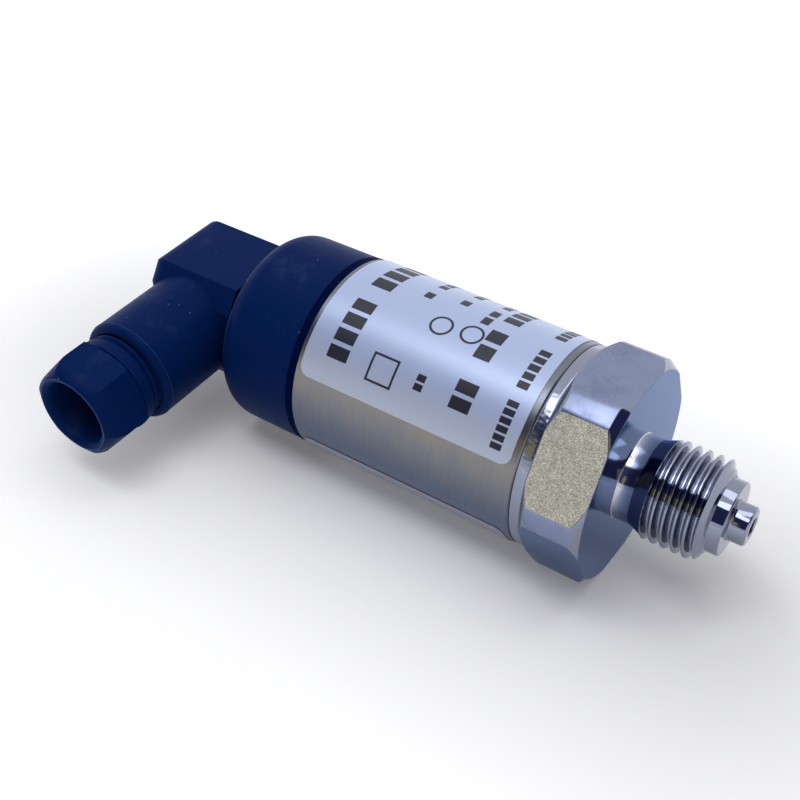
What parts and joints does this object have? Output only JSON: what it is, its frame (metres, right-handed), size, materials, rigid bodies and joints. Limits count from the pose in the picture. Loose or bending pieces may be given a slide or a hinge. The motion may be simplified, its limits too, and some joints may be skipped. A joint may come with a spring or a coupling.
{
  "type": "pressure transmitter",
  "caption": "Pressure transmitter: steel stem with manometer thread and hexagon, labelled steel case, plastic head and right-angled cable plug with empty gland.",
  "frame": {"origin": "on the stem axis, at the sealing face at the end of the pilot, where the spigot starts", "axes": "+X along the stem out of the threaded end; +Z square to the upper flat of the hexagon, as it lies on the opposite flat; the gland points to -Y and 5.26 degrees below level"},
  "size_m": [0.0881, 0.0455, 0.0272],
  "materials": {
    "turned_steel": "bright turned stainless steel",
    "tube_steel": "drawn stainless tube, finely scratched",
    "label_foil": "satin foil label",
    "film": "gold strain-gauge film",
    "grey_plastic": "glass-filled polyamide",
    "board": "green solder mask",
    "black_plastic": "satin black polyamide",
    "ceramic": "ceramic chip",
    "ribbon": "polyimide",
    "lead_insulation": "PVC",
    "black_rubber": "moulded nitrile rubber",
    "brass": "turned brass",
    "tinned_brass": "tinned",
    "zinc_steel": "zinc plated"
  },
  "bodies": {
    "transmitter": {"process_connection": "turned_steel", "case_tube": "tube_steel", "type_label": "label_foil", "sensor_cell": "tube_steel", "sensor_film": "film", "cell_collar": "grey_plastic", "circuit_board": "board", "amplifier_chip": "black_plastic", "board_capacitors": "ceramic", "cell_ribbon": "ribbon", "head_leads": "lead_insulation", "head_seal": "black_rubber", "head_cap": "black_plastic", "contact_base": "black_plastic", "threaded_bush": "brass", "contact_pin_1": "tinned_brass", "contact_pin_2": "tinned_brass", "contact_pin_3": "tinned_brass", "earth_pin": "tinned_brass"},
    "plug": {"flat_gasket": "black_rubber", "plug_housing": "black_plastic", "terminal_insert": "grey_plastic", "socket_contact_1": "tinned_brass", "socket_contact_2": "tinned_brass", "socket_contact_3": "tinned_brass", "earth_socket": "tinned_brass", "terminal_screws": "zinc_steel", "gland_seal": "black_rubber"},
    "screw_carrier": {"screw_washer": "zinc_steel"},
    "screw": {"plug_screw": "zinc_steel"},
    "gland_carrier": {"thrust_washer": "tinned_brass"},
    "gland": {"gland_nut": "black_plastic"}
  },
  "joints": [
    {"name": "plug_pull", "type": "slide", "parent": "transmitter", "child": "plug", "axis": [-1, 0, 0], "range_m": [0, 0.02]},
    {"name": "screw_rise", "type": "slide", "parent": "plug", "child": "screw_carrier", "axis": [-1, 0, 0], "range_m": [0, 0.0036]},
    {"name": "plug_screw_turn", "type": "hinge", "parent": "screw_carrier", "child": "screw", "pos_m": [-0.0838, 0, 0], "axis": [-1, 0, 0], "range_deg": [0, 2880]},
    {"name": "gland_travel", "type": "slide", "parent": "plug", "child": "gland_carrier", "axis": [0, -0.9958, -0.0917], "range_m": [0, 0.00508]},
    {"name": "gland_nut_turn", "type": "hinge", "parent": "gland_carrier", "child": "gland", "pos_m": [-0.07763, -0.02649, -0.00244], "axis": [0, -0.9958, -0.0917], "range_deg": [0, 1440]}
  ],
  "couplings": [
    {"joint": "plug_screw_turn", "follows": "screw_rise", "rad_per_m": 13963},
    {"joint": "gland_nut_turn", "follows": "gland_travel", "rad_per_m": 4947.4}
  ]
}
